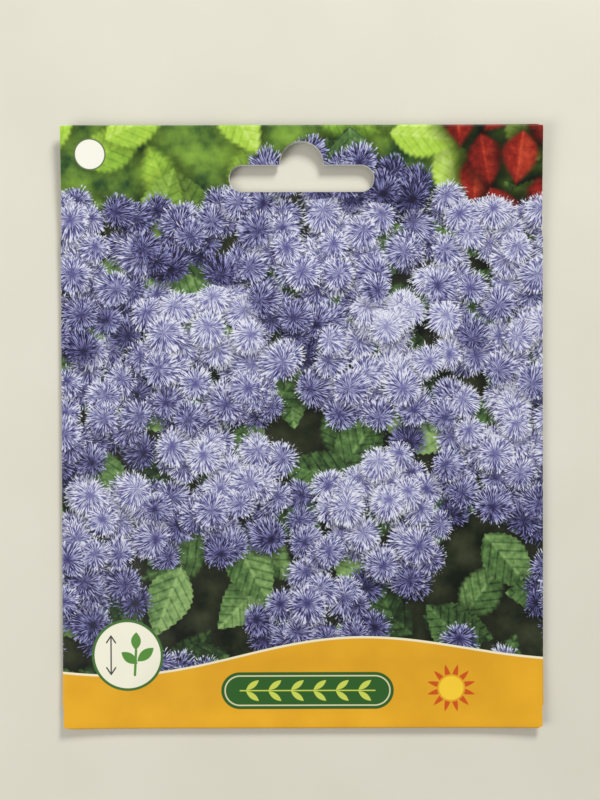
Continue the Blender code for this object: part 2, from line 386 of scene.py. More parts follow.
# %% A leaf stamp
def leaf_stamp(way, place, angle, length, breadth, notches, veins):
    """How far inside the leaf's edge a point lies, and its tone from 0 dark to 1 bright."""
    turned = way.add("VectorRotate", {"rotation_type": "Z_AXIS"}, {"Vector": way, "Angle": angle})
    along = turned.part("x") / (length / 2)
    rise = turned.part("y") / (breadth / 2)
    across = rise.calc("ABSOLUTE")
    outline = (1 - along * along) * (1 - along * 0.35)
    notch = ((along * 6.5 + across).calc("FRACT") - 0.5).calc("ABSOLUTE") * notches
    vein = (((along - across * 0.55) * 3.6).calc("FRACT") - 0.5).calc("ABSOLUTE")
    settings = {"noise_dimensions": "2D"}
    inputs = {"Vector": way + place, "Scale": 0.7, "Detail": 3.0}
    crinkle = way.add("TexNoise", settings, inputs)
    tone = crinkle * 0.62 + vein.ramp(0.0, 0.2) * veins + rise.ramp(-0.2, 0.2) * 0.16
    return outline - across - notch, tone + across.ramp(0.1, 0.03) * 0.14 - 0.42


LEAF_GREENS = [
    (0.0, (0.010, 0.015, 0.008)),
    (0.3, (0.024, 0.052, 0.017)),
    (0.62, (0.090, 0.185, 0.052)),
    (1.0, (0.300, 0.460, 0.160)),
]
LIME_GREENS = [
    (0.0, (0.050, 0.130, 0.020)),
    (0.35, (0.180, 0.370, 0.036)),
    (0.7, (0.430, 0.660, 0.070)),
    (1.0, (0.720, 0.880, 0.300)),
]
REDS = [
    (0.0, (0.040, 0.006, 0.004)),
    (0.45, (0.260, 0.014, 0.008)),
    (1.0, (0.640, 0.080, 0.030)),
]
LEAF_CELL = 21.0
PETAL_CELL = 15.0
LEAF = {"length": LEAF_CELL * 0.84, "breadth": LEAF_CELL * 0.5, "notches": 0.16, "veins": 0.2}
PETAL = {"length": PETAL_CELL * 0.86, "breadth": PETAL_CELL * 0.6, "notches": 0.0, "veins": 0.06}
FULL_TURN = 6.283


def draw_leaves(picture, page, shift, turn, seed, level, blur):
    """A layer of leaves, whose tones start at this level, and lime green above the blossoms."""
    way, place, luck = scatter(page, LEAF_CELL, turn, shift, seed, 0.1)
    edge, tone = leaf_stamp(way, place * 3.0, luck.part("x") * FULL_TURN, **LEAF)
    chance = luck.part("y")
    tone = tone + chance * chance * 0.42 + level
    green = tone.add("ValToRGB", {"stops": LEAF_GREENS}, {"Fac": tone})
    lime = tone.add("ValToRGB", {"stops": LIME_GREENS}, {"Fac": tone * 0.6 + 0.3})
    far = (place.part("y") - blossom_limit(place)).ramp(-6.0, 6.0)
    shaded = picture.shaded(edge.ramp(-0.8, 0.3) * 0.45)
    return shaded.inked(edge.ramp(0.0, blur + far * 0.2), green.inked(far, lime))


def draw_red_petals(picture, page, shift, turn, seed):
    """A layer of blurred red petals over the picture's corner."""
    way, place, luck = scatter(page, PETAL_CELL, turn, shift, seed, 0.12)
    edge, tone = leaf_stamp(way, place * 3.0, luck.part("x") * 1.6 + 0.6, **PETAL)
    tone = tone + luck.part("y") * 0.4 + edge * 0.3 + 0.1
    red = tone.add("ValToRGB", {"stops": REDS}, {"Fac": tone})
    near = (place - RED_CORNER).calc("LENGTH").calc("LESS_THAN", RED_REACH)
    shaded = picture.shaded(edge.ramp(-1.0, 0.3) * near * 0.8)
    return shaded.inked(edge.ramp(0.0, 0.4) * near, red)


COMMON = ("Picture", "Page", "Shift")
leaf_layer = layer_group("leaf_layer", (*COMMON, "Turn", "Seed", "Level", "Blur"), draw_leaves)
red_layer = layer_group("red_petal_layer", (*COMMON, "Turn", "Seed"), draw_red_petals)

# %% [markdown]
# A blossom is a round head of fine threads. Noise that is stretched from the heart outwards gives
# the threads: where it is high the head is pale and reaches far, and where it is low there is a
# dark gap. The heart leans away from the middle of its clump, as on a dome.

# %% A blossom stamp
PETAL_INKS = [
    (0.0, (0.012, 0.012, 0.030)),
    (0.2, (0.045, 0.042, 0.140)),
    (0.42, (0.135, 0.130, 0.330)),
    (0.68, (0.320, 0.330, 0.540)),
    (1.0, (0.700, 0.720, 0.810)),
]
BLOSSOM_CELL = 10.4
SMALL_HEAD, LARGE_HEAD = 3.8, 4.9
THREADS_ROUND = 12.0
THREAD_BREAKS = 3.4
HEADS_APART = 7.0


def blossom_stamp(way, place, luck, lean):
    """The blossom's mask, its tone and its round shadow."""
    size = luck.part("x") * (LARGE_HEAD - SMALL_HEAD) + SMALL_HEAD
    flat = way.calc("LENGTH") / size
    heart = way * (1 / size) - lean * (1 - flat)
    away = heart.calc("LENGTH")
    outward = away.add("CombineXYZ", None, {"Z": away * THREAD_BREAKS})
    threads = heart.calc("NORMALIZE") * THREADS_ROUND + place * HEADS_APART + outward
    inputs = {"Vector": threads, "Scale": 1.0, "Detail": 1.6, "Roughness": 0.7}
    fur = away.add("TexNoise", {"noise_dimensions": "3D"}, inputs)
    thread = fur.ramp(0.38, 0.64)
    dark = luck.part("z") * 0.8
    tone = thread * (away * 0.34 + 0.62) - 0.02
    tone = tone * (away.ramp(0.04, 0.34) * dark + (1 - dark))
    tone = tone + heart.calc("DOT_PRODUCT", LIGHT) * 0.1
    shadow = (way + LIGHT * 1.2).calc("LENGTH") / size
    return (fur * 1.3 + 0.26 - flat).ramp(0.0, 0.2), tone, shadow.ramp(1.3, 0.6)


# %% [markdown]
# One layer lays its stamps over the picture so far. The lower layers are darker and fill the
# clumps to their rims, and the upper ones are brighter and keep nearer to the clumps' middles, so
# each clump looks like a dome that the light catches.

# %% Layers of blossoms
def draw_blossoms(picture, page, shift, spread, level):
    """A layer of blossoms that fill this share of each clump, at this level of brightness."""
    way, place, luck = crowd(page, BLOSSOM_CELL, shift)
    away, lean, chance = clump_of(place)
    height = place.part("y")
    full = spread + height * 0.0036 + chance * 0.1 - 0.03
    grown = away.calc("LESS_THAN", full) * height.calc("LESS_THAN", blossom_limit(place))
    mask, tone, shadow = blossom_stamp(way, place, luck, lean * 0.5)
    sunlit = (place - BRIGHT_SPOT).calc("LENGTH").ramp(95.0, 5.0) * 0.2
    tone = tone + level + lean.calc("DOT_PRODUCT", LIGHT) * 0.5 + chance * 0.26 + sunlit
    tone = tone - away * 0.34 - 0.02
    ink = tone.add("ValToRGB", {"stops": PETAL_INKS}, {"Fac": tone})
    return picture.shaded(shadow * grown * 0.42).inked(mask * grown, ink)


blossom_layer = layer_group("blossom_layer", (*COMMON, "Spread", "Level"), draw_blossoms)

# %% [markdown]
# The signs on the lower band are simple shapes: discs, strokes with round ends, and lens-shaped
# leaves. Each gives a mask with an edge 0.14 mm soft, as print has. Where a sign is alike on both
# sides, or repeats, its page is folded or wrapped first, and one shape is drawn.

# %% Shapes for signs
EDGE = 0.07


def disc(page, centre, radius):
    return (page - Vector((*centre, 0))).calc("LENGTH").ramp(radius + EDGE, radius - EDGE)


def stroke(page, start, end, radius):
    """A straight stroke with round ends."""
    run = Vector((*end, 0)) - Vector((*start, 0))
    way = page - Vector((*start, 0))
    share = way.calc("DOT_PRODUCT", run / run.length_squared)
    share = share.calc("MAXIMUM", 0.0).calc("MINIMUM", 1.0)
    foot = share.add("VectorMath", {"operation": "SCALE"}, {0: run, "Scale": share})
    return (way - foot).calc("LENGTH").ramp(radius + EDGE, radius - EDGE)


def lens(page, centre, degrees, length, breadth):
    """A leaf-shaped lens with its long axis turned by these degrees."""
    axis = Vector((math.cos(math.radians(degrees)), math.sin(math.radians(degrees)), 0))
    way = page - Vector((*centre, 0))
    along = way.calc("DOT_PRODUCT", axis / (length / 2))
    across = way.calc("DOT_PRODUCT", Vector((-axis.y, axis.x, 0)) / (breadth / 2))
    edge = 1 - along * along - across.calc("ABSOLUTE")
    return edge.ramp(-2 * EDGE / breadth, 2 * EDGE / breadth)


# %% [markdown]
# Three signs are made from those shapes: a sun, whose rays repeat round it, a sprout on a badge
# beside an arrow, and a label with a twig, whose leaves repeat along it.

# %% The signs
SUN_DISC, SUN_RAYS = (0.95, 0.62, 0.04), (0.62, 0.09, 0.012)
BADGE_RADIUS, BADGE_RIM = 8.0, 0.6
BADGE_GREEN, BADGE_CREAM = (0.055, 0.16, 0.03), (0.86, 0.84, 0.68)
ARROW_SIDE, ARROW_LINE, ARROW_INK = -3.7, 0.16, (0.05, 0.05, 0.045)
SPROUT_GREEN = (0.085, 0.26, 0.035)
SPROUT_LEAVES = (((0.4, -0.6), 145, 4.4), ((4.0, 0.2), 40, 4.8), ((1.9, 3.2), 88, 4.0))
LABEL_GREEN, LABEL_LINE = (0.030, 0.115, 0.022), (0.72, 0.70, 0.42)
TWIG_GREEN = (0.60, 0.68, 0.10)
TWIG_LEAVES = 6


def sun_sign(picture, page, centre, radius):
    """A sun: a plain disc and twelve pointed rays."""
    way = page - Vector((*centre, 0))
    away = way.calc("LENGTH") / radius
    angle = way.part("y").calc("ARCTAN2", way.part("x")) / (2 * math.pi)
    across = ((angle * 12).calc("FRACT") - 0.5).calc("ABSOLUTE") * 2
    ray = (1.02 - away) * 1.7 - across
    rays = ray.ramp(-0.08, 0.08) * away.ramp(0.55, 0.6)
    picture = picture.inked(rays, SUN_RAYS)
    return picture.inked(away.ramp(0.52, 0.48), SUN_DISC)


def sprout_sign(picture, page, centre):
    """A cream badge with a green rim, a sprout and an upright arrow with two heads."""
    picture = picture.inked(disc(page, centre, BADGE_RADIUS), BADGE_GREEN)
    picture = picture.inked(disc(page, centre, BADGE_RADIUS - BADGE_RIM), BADGE_CREAM)
    way = page - Vector((*centre, 0))
    folded = (way - Vector((ARROW_SIDE, 0, 0))).calc("ABSOLUTE")
    arrow = stroke(folded, (0, 0), (0, 4.2), ARROW_LINE)
    arrow = larger(arrow, stroke(folded, (0, 4.3), (1.0, 2.8), ARROW_LINE))
    picture = picture.inked(arrow, ARROW_INK)
    sprout = stroke(way, (1.6, -4.4), (1.9, 1.2), 0.28)
    for leaf_centre, degrees, length in SPROUT_LEAVES:
        sprout = larger(sprout, lens(way, leaf_centre, degrees, length, breadth=2.2))
    return picture.inked(sprout, SPROUT_GREEN)


def twig_label(picture, page, centre, length, breadth):
    """A plain green label with round ends, a pale line inside its edge and a leafy twig."""
    way = page - Vector((*centre, 0))
    reach = length / 2
    for shrink, colour in ((0.0, LABEL_GREEN), (0.7, LABEL_LINE), (1.0, LABEL_GREEN)):
        shape = stroke(way, (-reach, 0), (reach, 0), breadth / 2 - shrink)
        picture = picture.inked(shape, colour)
    step = length / TWIG_LEAVES
    wrapped = way.add("CombineXYZ", None, {
        "X": way.part("x").calc("WRAP", reach, -reach).calc("WRAP", step, 0.0),
        "Y": way.part("y").calc("ABSOLUTE"),
    })
    within = way.part("x").calc("ABSOLUTE").calc("LESS_THAN", reach)
    twig = lens(wrapped, (step * 0.55, 1.25), 38, step * 0.72, 1.25) * within
    twig = larger(twig, stroke(way, (-reach, 0), (reach, 0), 0.14))
    return picture.inked(twig, TWIG_GREEN)


# %% [markdown]
# The lower band is plain gold with a waved upper edge and a thin pale line along it. The gold is
# a touch uneven, as a large flat area of offset print is.

# %% The gold band
GOLD = (0.750, 0.385, 0.018)
GOLD_PRINT = [(0.3, (0.715, 0.360, 0.016)), (0.7, (0.790, 0.410, 0.020))]
GOLD_LINE = (0.86, 0.80, 0.55)
BAND_DROP = 50.5


def gold_band(picture, page):
    """The band, whose upper edge waves and climbs to the right, this far below the middle."""
    x, y = page.part("x"), page.part("y")
    edge = (x * 0.062 + 0.9).calc("SINE") * 3.4 + x * 0.035 - BAND_DROP
    depth = edge - y
    settings = {"noise_dimensions": "2D"}
    blotches = page.add("TexNoise", settings, {"Vector": page, "Scale": 0.09, "Detail": 3.0})
    gold = blotches.add("ValToRGB", {"stops": GOLD_PRINT}, {"Fac": blotches})
    picture = picture.inked(depth.ramp(-0.55, -0.45), GOLD_LINE)
    return picture.inked(depth.ramp(-EDGE, EDGE), gold)


# %% [markdown]
# The whole front: a dark ground, leaves from deep to bright, red petals, the blossoms in layers,
# then the band with its signs and a small plain disc in the upper left corner. The lists say for
# each layer its shift in millimetres, its turn and seed where it has them, and how it is inked.

# %% The printed front
DARK_GROUND = [(0.3, (0.005, 0.010, 0.004)), (0.7, (0.040, 0.048, 0.022))]
LIGHT_GROUND = [(0.3, (0.022, 0.070, 0.020)), (0.7, (0.240, 0.420, 0.050))]
CORNER_DISC = (-46.8, 60.6)
LEAF_LAYERS = [
    ((0.4, 5.2), 1.3, 12, 0.08, 0.3),
    ((7.7, 2.9), 2.2, 13, 0.20, 0.07),
    ((5.6, 8.1), 2.9, 14, 0.30, 0.06),
]
RED_LAYERS = [((2.2, 3.3), 0.3, 21), ((4.8, 1.3), 1.1, 22), ((6.4, 3.7), 1.9, 23)]
BLOSSOM_LAYERS = [
    ((813.3, 224.6), 0.62, -0.16),
    ((551.1, 902.8), 0.61, -0.09),
    ((292.9, 671.3), 0.58, -0.03),
    ((184.2, 415.4), 0.53, 0.01),
    ((666.6, 539.1), 0.48, 0.03),
    ((348.2, 126.7), 0.40, 0.05),
]


def front_picture(page):
    settings = {"noise_dimensions": "2D"}
    ground = page.add("TexNoise", settings, {"Vector": page, "Scale": 0.16, "Detail": 3.0})
    dark = ground.add("ValToRGB", {"stops": DARK_GROUND}, {"Fac": ground})
    light = ground.add("ValToRGB", {"stops": LIGHT_GROUND}, {"Fac": ground})
    picture = dark.inked((page.part("y") - blossom_limit(page)).ramp(-4.0, 4.0), light)
    for shift, turn, seed, level, blur in LEAF_LAYERS:
        inputs = {"Turn": (0, 0, turn), "Seed": seed, "Level": level, "Blur": blur}
        picture = lay(picture, page, leaf_layer, shift, **inputs)
    for shift, turn, seed in RED_LAYERS:
        picture = lay(picture, page, red_layer, shift, Turn=(0, 0, turn), Seed=seed)
    for shift, spread, level in BLOSSOM_LAYERS:
        picture = lay(picture, page, blossom_layer, shift, Spread=spread, Level=level)
    picture = gold_band(picture, page)
    picture = sun_sign(picture, page, centre=(33.0, -58.0), radius=5.4)
    picture = sprout_sign(picture, page, centre=(-39.0, -50.5))
    picture = twig_label(picture, page, centre=(1.0, -58.5), length=30.0, breadth=8.4)
    picture = picture.inked(disc(page, CORNER_DISC, 3.5), (0.12, 0.17, 0.07))
    return picture.inked(disc(page, CORNER_DISC, 3.2), (0.90, 0.89, 0.78))


# %% [markdown]
# Both sides of the print share one finish: a thin gloss coat over ink that is a little rougher in
# places, a surface as fine as coated paper, and white paper where handling has rubbed the ink off
# the folds and corners.

# %% Finish of the printed paper
WORN = (0.78, 0.77, 0.73)
WEAR_DEPTH = 0.6
CORNER_WEAR = 3.5


def worn_edges(picture, page):
    """The picture with its ink rubbed off in places along the packet's outline."""
    settings = {"noise_dimensions": "2D"}
    rub = page.add("TexNoise", settings, {"Vector": page, "Scale": 0.55, "Detail": 4.0})
    reach = page.calc("ABSOLUTE") + Vector((WEAR_DEPTH - WIDTH / 2, WEAR_DEPTH - TOP, 0))
    side = larger(reach.part("x"), reach.part("y")) / WEAR_DEPTH
    corner = (page.calc("ABSOLUTE") - Vector((WIDTH / 2, TOP, 0))).calc("LENGTH")
    corner = corner.ramp(CORNER_WEAR, 0.0)
    mask = side.calc("MAXIMUM", 0.0) + corner * 0.6 + rub * 1.6 - 1.9
    return picture.inked(mask.ramp(0.0, 0.35) * 0.75, WORN)


def print_finish(shader, place):
    """Uneven roughness and a fine surface under the coat."""
    patches = place.add("TexNoise", None, {"Vector": place, "Scale": 0.12, "Detail": 4.0})
    feed(shader, "Roughness", patches * 0.22 + 0.25)
    grain = place.add("TexNoise", None, {"Vector": place, "Scale": 2.2, "Detail": 3.0})
    feed_bump(shader, grain, 0.008)


PRINT = {"Coat_Weight": 0.15, "Coat_Roughness": 0.14, "Specular_IOR_Level": 0.2}
front_print, shader, place = start_material("front_print", **PRINT)
page = flat_page(place)
feed(shader, "Base Color", worn_edges(front_picture(page), page))
print_finish(shader, place)
print("front print:", len(front_print.node_tree.nodes), "nodes")

# %% [markdown]
# The back has blocks of fine ruled lines, and rows of twelve boxes, one for each month. Both are
# rectangles with lines that repeat, so they need two more masks: the distance from a rectangle's
# border, and a comb of lines.

# %% Shapes on the back
RULE = (0.17, 0.18, 0.15)
RULE_WIDTH, BOX_RULE_WIDTH = 0.35, 0.25
MONTH_BOX = 6.6


def border_distance(page, centre, half_width, half_height):
    """How far a point lies outside an upright rectangle, and less than 0 inside it."""
    way = (page - Vector((*centre, 0))).calc("ABSOLUTE") - Vector((half_width, half_height, 0))
    return larger(way.part("x"), way.part("y"))


def comb(distance, step, width):
    """Lines of this width that repeat at every step."""
    wrapped = distance.calc("WRAP", step / 2, -step / 2).calc("ABSOLUTE")
    return wrapped.ramp(width / 2 + EDGE, width / 2 - EDGE)


def ruled_lines(picture, page, centre, half_width, half_height, step):
    """A block of fine ruled lines."""
    inside = border_distance(page, centre, half_width, half_height).ramp(EDGE, -EDGE)
    lines = comb(page.part("y") - centre[1], step, RULE_WIDTH)
    return picture.inked(lines * inside * 0.8, RULE)


def month_row(picture, page, centre, months, colour):
    """A row of twelve square boxes with those from the first of these months to the last inked."""
    first, last = months
    outside = border_distance(page, centre, 6 * MONTH_BOX, MONTH_BOX / 2)
    across = page.part("x") - centre[0]
    month = (across / MONTH_BOX + 6.0).calc("FLOOR") - (first + last) / 2
    filled = month.calc("ABSOLUTE").calc("LESS_THAN", (last - first) / 2 + 0.5)
    inside = outside.ramp(EDGE, -EDGE)
    picture = picture.inked(filled * inside, colour)
    uprights = comb(across, MONTH_BOX, BOX_RULE_WIDTH) * inside
    rules = larger(uprights, outside.calc("ABSOLUTE").ramp(0.22, 0.1))
    return picture.inked(rules, RULE)


# %% [markdown]
# The back is read from behind, so its page is mirrored first. From its header down it has a green
# band, a leafy label, ruled lines, the months of sowing and of flowering, more ruled lines beside
# a sun, and the gold band of the front. All this is guessed, in the colours of the front.

# %% The printed back
CREAM_TINTS = [(0.3, (0.76, 0.74, 0.60)), (0.7, (0.84, 0.82, 0.70))]
HEADER_BAND = 43.0
SOWING, SOWING_GREEN = (2, 4), (0.16, 0.36, 0.06)
FLOWERING, FLOWERING_BLUE = (5, 9), (0.22, 0.22, 0.55)


def back_picture(page):
    """The back's picture on a page that is already mirrored."""
    settings = {"noise_dimensions": "2D"}
    tint = page.add("TexNoise", settings, {"Vector": page, "Scale": 0.05, "Detail": 3.0})
    picture = tint.add("ValToRGB", {"stops": CREAM_TINTS}, {"Fac": tint})
    wave = (page.part("x") * 0.055 + 2.2).calc("SINE") * 2.6 + HEADER_BAND
    header = page.part("y") - wave
    picture = picture.inked(header.ramp(-1.0 - EDGE, -1.0 + EDGE), GOLD)
    picture = picture.inked(header.ramp(-EDGE, EDGE), LABEL_GREEN)
    picture = twig_label(picture, page, centre=(0.0, 33.5), length=52.0, breadth=7.0)
    picture = ruled_lines(picture, page, (0.0, 14.5), half_width=44.0, half_height=11.5, step=2.5)
    picture = month_row(picture, page, (0.0, -6.5), SOWING, SOWING_GREEN)
    picture = month_row(picture, page, (0.0, -15.5), FLOWERING, FLOWERING_BLUE)
    picture = ruled_lines(picture, page, (9.0, -33.0), half_width=35.0, half_height=9.0, step=2.5)
    picture = gold_band(picture, page)
    picture = sun_sign(picture, page, centre=(-38.0, -31.0), radius=6.4)
    return worn_edges(picture, page)


back_print, shader, place = start_material("back_print", **PRINT)
feed(shader, "Base Color", back_picture(place * Vector((-1, 1, 0))))
print_finish(shader, place)
print("back print:", len(back_print.node_tree.nodes), "nodes")

# %% [markdown]
# The blank is one sheet, so it is modelled as one: a mesh grid that runs down the top flap, over
# the fold at the head, down the front, and round the fold at the foot. Along both sides the front
# folds over into the side flaps. The grid is the sheet's middle surface, and its height comes from
# a few smooth functions: the curl of the packet, the pocket over the sachet, and what shows
# through the paper, such as the edges of the flaps behind it.

# %% The lie of the paper
REST_HALF_WIDTH = 34.0
REST_ENDS = (-48.0, 23.0)
SIDE_CURL = 0.7
FOOT_CURL = 0.7
HEADER_CURL = 2.3
POCKET_HALF_WIDTH = 50.0
POCKET_ENDS = (-64.0, 44.0)
POCKET_RISE = 2.5
SACHET_Y = -9.0
SACHET_HALVES = (37.0, 43.0)
FLAP_STEP = 0.1
TOP_FLAP_RIDGE = 0.05
SEAL_STEP = 0.09
CREASE_RISE = 0.16
CREASE_SIDE = 36
CREASES = ((36, 0.9), (-55, -0.8))


def smooth_step(share):
    share = min(1.0, max(0.0, share))
    return share * share * (3 - 2 * share)


def lift(x, y):
    """Height of the back's underside over the surface that the packet lies on."""
    side = (abs(x) - REST_HALF_WIDTH) / (WIDTH / 2 - REST_HALF_WIDTH)
    foot = (REST_ENDS[0] - y) / (REST_ENDS[0] - FOOT)
    header = (y - REST_ENDS[1]) / (TOP - REST_ENDS[1])
    curls = (SIDE_CURL, side), (FOOT_CURL, foot), (HEADER_CURL, header)
    return sum(curl * max(0.0, share) ** 2 for curl, share in curls)


def pocket(x, y):
    """0 on the glued borders of the front, and 1 over the middle of the sachet."""
    middle = (POCKET_ENDS[0] + POCKET_ENDS[1]) / 2
    across = 1 - (abs(x) / POCKET_HALF_WIDTH) ** 2.4
    along = 1 - (abs(y - middle) / (POCKET_ENDS[1] - middle)) ** 3.0
    return smooth_step(max(0.0, across)) ** 0.8 * smooth_step(max(0.0, along)) ** 0.8


def ridge(distance, width):
    """A soft bump of height 1 along a line."""
    return math.exp(-((distance / width) ** 2))


def print_through(x, y):
    """What shows through the front: flap edges, the sachet's seals and creases at its corners."""
    flap_edge = abs(x) - (HALF - SIDE_FLAP)
    step = -FLAP_STEP * smooth_step(0.5 - flap_edge / 1.6) * smooth_step((y + 66) / 4)
    step += TOP_FLAP_RIDGE * ridge(y - (TOP - FLAP_LENGTH), 0.7)
    seal = max(abs(x) - SACHET_HALVES[0], abs(y - SACHET_Y) - SACHET_HALVES[1])
    step += SEAL_STEP * smooth_step(0.5 - seal / 2.4)
    for side in (-1, 1):
        for corner_y, turn in CREASES:
            away = (x - side * CREASE_SIDE) * side, y - corner_y
            along = away[0] * math.cos(turn) + away[1] * math.sin(turn)
            across = away[1] * math.cos(turn) - away[0] * math.sin(turn)
            crease = ridge(across + 0.02 * along * along, 1.7)
            step += CREASE_RISE * crease * ridge(along, 9.0)
    return step


def waviness(x, y):
    """The slow unevenness of handled paper."""
    broad = noise.noise(Vector((x / 34, y / 34, 3.7)))
    fine = noise.noise(Vector((x / 13, y / 15, 9.1)))
    return 0.16 * broad + 0.05 * fine


def front_height(x, y):
    """Height of the front's middle surface."""
    inner = min(1.0, max(0.0, (HALF - abs(x)) / 5.0))
    inner *= smooth_step((TOP - y) / 4) * smooth_step((y - FOOT) / 4)
    level = lift(x, y) + PAPER / 2 + 2 * PITCH
    return level + POCKET_RISE * pocket(x, y) + inner * (print_through(x, y) + waviness(x, y))


def layer_height(x, y, level):
    return lift(x, y) + PAPER / 2 + level


print("front over its border:", round(front_height(0, 0) - front_height(HALF, 0), 2), "mm")

# %% [markdown]
# The stations of the spine say, row by row, where the sheet runs: how far up the page, at which
# level, how wide, and which side of the paper faces out there. The folds are half circles. The
# sheet is built in two pieces that meet at the foot, with a seam between them as thin as a hair,
# because the slanted ends of two meshes that met exactly would cross.

# %% Rows down the spine of the sheet
FOLD_STEPS = 10
ROW_STEP = 1.15
SEAM = 0.03
FRONT_INK, BACK_INK, BARE = range(3)


def fold_arc(centre, radius, sense):
    """Points (out, level) of a half-circle fold between its two ends."""
    angles = [math.pi * (0.5 - step / FOLD_STEPS) * sense for step in range(1, FOLD_STEPS)]
    return [(radius * math.cos(a), centre + radius * math.sin(a)) for a in angles]


def even_steps(start, end, step):
    """Values from start to end, about one step apart."""
    count = max(1, round(abs(end - start) / step))
    return [start + (end - start) * i / count for i in range(count + 1)]


def flap_inset(share):
    """How far the top flap's side lies inside the packet, from its free edge (0) to its fold."""
    return 0.6 + 2.4 * (1 - smooth_step(share * 2.2)) ** 1.5


def front_stations():
    """Rows (y, level or None on the front, half width, ink) of the piece with the front."""
    radius = 1.5 * PITCH
    top_line = TOP - PAPER / 2 - radius
    foot_line = FOOT + PAPER / 2 + PITCH
    rows = []
    for y in even_steps(top_line - FLAP_LENGTH, top_line, ROW_STEP):
        share = 1 - (top_line - y) / FLAP_LENGTH
        rows.append((y, -PITCH, WIDTH / 2 - flap_inset(share), BACK_INK))
    for out, level in fold_arc(PITCH / 2, radius, -1):
        rows.append((top_line + out, level, HALF, FRONT_INK))
    rows += [(y, None, HALF, FRONT_INK) for y in even_steps(top_line, foot_line, ROW_STEP)]
    for out, level in fold_arc(PITCH, PITCH, 1):
        rows.append((foot_line - out, level, BACK_HALF, FRONT_INK))
    rows.append((foot_line, 0.0, BACK_HALF, FRONT_INK))
    return rows


def back_stations():
    """Rows of the back panel, from the fold at the foot to its free edge behind the header."""
    start = FOOT + PAPER / 2 + PITCH + SEAM
    return [(y, 0.0, BACK_HALF, BACK_INK) for y in even_steps(start, BACK_TOP, ROW_STEP)]


print(len(front_stations()), "rows in the front piece,", len(back_stations()), "in the back")

# %% [markdown]
# The rows become a grid of quads. On the front's rows a strip is added at each side: round the
# side fold, and then inwards between the front and the back as the glued side flap. Its ends are
# cut back at an angle. A Solidify modifier gives the sheet its thickness, with printed paper
# outside and bare paper on its inner side and its cut edges.

# %% Building a folded sheet
COLUMN_STEP = 1.15
SIDE_FLAP_ENDS = (-62.0, 43.0)
SIDE_FLAP_TAPER = 10.0
SIDE_FLAP_TIP = 3.0
SIDE_FLAP_COLUMNS = 8


def side_flap_reach(y):
    """Width of the side flap at y, cut back towards its ends."""
    from_end = min(y - SIDE_FLAP_ENDS[0], SIDE_FLAP_ENDS[1] - y)
    share = min(1.0, from_end / SIDE_FLAP_TAPER)
    return SIDE_FLAP_TIP + (SIDE_FLAP - SIDE_FLAP_TIP) * max(0.0, share)


def quad_strip(bm, first, second, ink):
    for i in range(len(first) - 1):
        face = bm.faces.new((first[i], first[i + 1], second[i + 1], second[i]))
        face.material_index = ink
        face.smooth = True


def side_flap_row(bm, corner, side):
    """Vertices from the front's edge round the side fold and in along the side flap."""
    x, y = corner.co.x / MM, corner.co.y / MM
    row = [corner]
    for out, level in fold_arc(1.5 * PITCH, PITCH / 2, 1):
        place = x + side * out
        row.append(bm.verts.new(Vector((place, y, layer_height(place, y, level))) * MM))
    for share in even_steps(0.0, 1.0, 1 / SIDE_FLAP_COLUMNS):
        place = x - side * share * side_flap_reach(y)
        row.append(bm.verts.new(Vector((place, y, layer_height(place, y, PITCH))) * MM))
    return row


def sheet_piece(name, stations, inks, side_flaps):
    """A sheet through these stations, thickened, with these inks for its faces."""
    shares = even_steps(-1.0, 1.0, COLUMN_STEP / HALF)
    bm = bmesh.new()
    rows = []
    for y, level, half, ink in stations:
        xs = [share * half for share in shares]
        heights = [front_height(x, y) if level is None else layer_height(x, y, level) for x in xs]
        rows.append([bm.verts.new(Vector((x, y, z)) * MM) for x, z in zip(xs, heights)])
    for i in range(len(rows) - 1):
        quad_strip(bm, rows[i], rows[i + 1], stations[i + 1][3])
    if side_flaps:
        foot_end, head_end = SIDE_FLAP_ENDS
        front = [r for r, s in zip(rows, stations) if s[1] is None and foot_end <= s[0] <= head_end]
        for side, end in ((-1, 0), (1, -1)):
            strips = [side_flap_row(bm, row[end], side) for row in front]
            for first, second in zip(strips, strips[1:]):
                pair = (first, second) if side > 0 else (second, first)
                quad_strip(bm, *pair, FRONT_INK)
    bmesh.ops.recalc_face_normals(bm, faces=bm.faces)
    mesh = bpy.data.meshes.new(name)
    bm.to_mesh(mesh)
    bm.free()
    piece = bpy.data.objects.new(name, mesh)
    bpy.context.scene.collection.objects.link(piece)
    for ink in inks:
        mesh.materials.append(ink)
    thicken = piece.modifiers.new("thicken", "SOLIDIFY")
    thicken.thickness = PAPER * MM
    thicken.offset = 0.0
    thicken.material_offset = BARE
    thicken.material_offset_rim = BARE
    return piece


# %% [markdown]
# The slot is punched through every layer at once: a long slot with a round hump, for the wires of
# a display hook. The cutter widens a little upwards, so that the layers below show as a thin
# white rim, as they do on a packet whose layers have shifted by a hair.

# %% The punched slot
SLOT_WIDTH = 32.0
SLOT_HEIGHT = 5.7
SLOT_FROM_TOP = 14.6
SLOT_LOW = TOP - SLOT_FROM_TOP
HUMP_RADIUS = 4.8
HUMP_RISE = 5.1
HUMP_MIDDLE = SLOT_LOW + SLOT_HEIGHT + HUMP_RISE - HUMP_RADIUS
ARC_STEPS = 20
CUTTER_ENDS = ((-4.0, -0.55), (9.0, 0.95))
SHARP_ANGLE = math.radians(38)


def arc(centre, radius, start, end):
    """Points on a circle's arc between two angles in degrees."""
    angles = [math.radians(start + (end - start) * i / ARC_STEPS) for i in range(ARC_STEPS + 1)]
    return [(centre[0] + radius * math.cos(a), centre[1] + radius * math.sin(a)) for a in angles]


